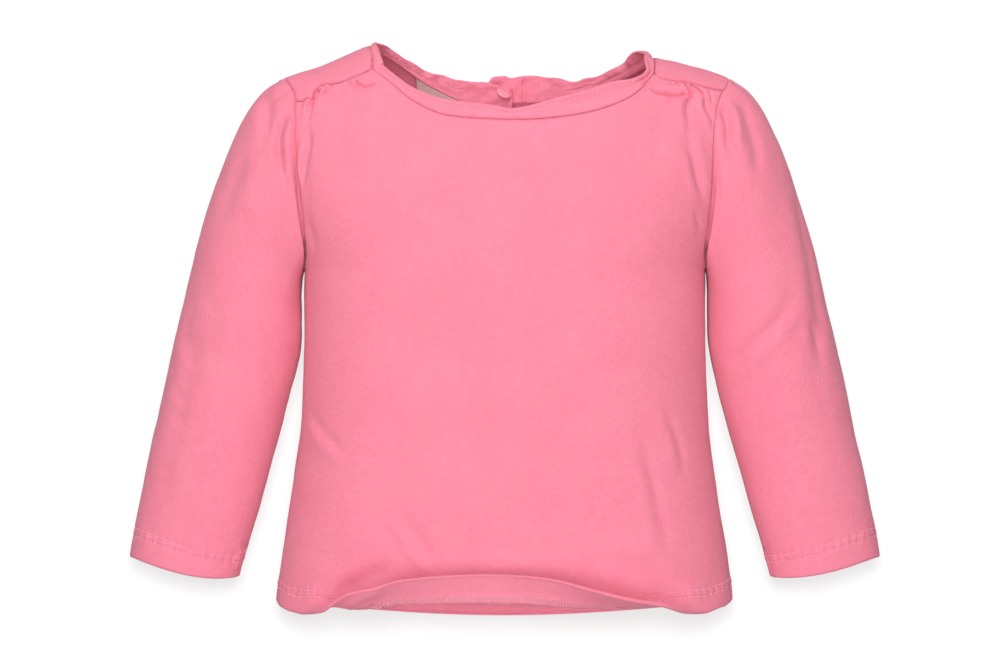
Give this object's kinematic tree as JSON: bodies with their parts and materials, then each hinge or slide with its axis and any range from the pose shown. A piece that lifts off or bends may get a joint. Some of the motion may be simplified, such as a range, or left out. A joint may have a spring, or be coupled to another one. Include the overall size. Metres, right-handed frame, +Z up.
{
  "type": "baby blouse",
  "caption": "Hollow long-sleeved jersey baby blouse with gathered shoulders, a bound neck that laps at the back, and a front hem that curls up.",
  "frame": {"origin": "midway between the two shoulder crests at the neck, where the wearer's shoulders hold the garment up", "axes": "+X to the right seen from the front, -Y out of the front, +Z up"},
  "size_m": [0.3967, 0.1248, 0.3076],
  "materials": {
    "jersey": "matt pink cotton jersey",
    "label": "plain taupe woven ribbon",
    "snap": "pale pink glossy snap cap"
  },
  "bodies": {
    "root": {"front_panel": "jersey", "back_panel": "jersey", "sleeve_left": "jersey", "sleeve_right": "jersey", "neckband": "jersey", "neck_label": "label", "snap_cap_inside": "snap", "snap_cap_outside": "snap"}
  },
  "joints": []
}
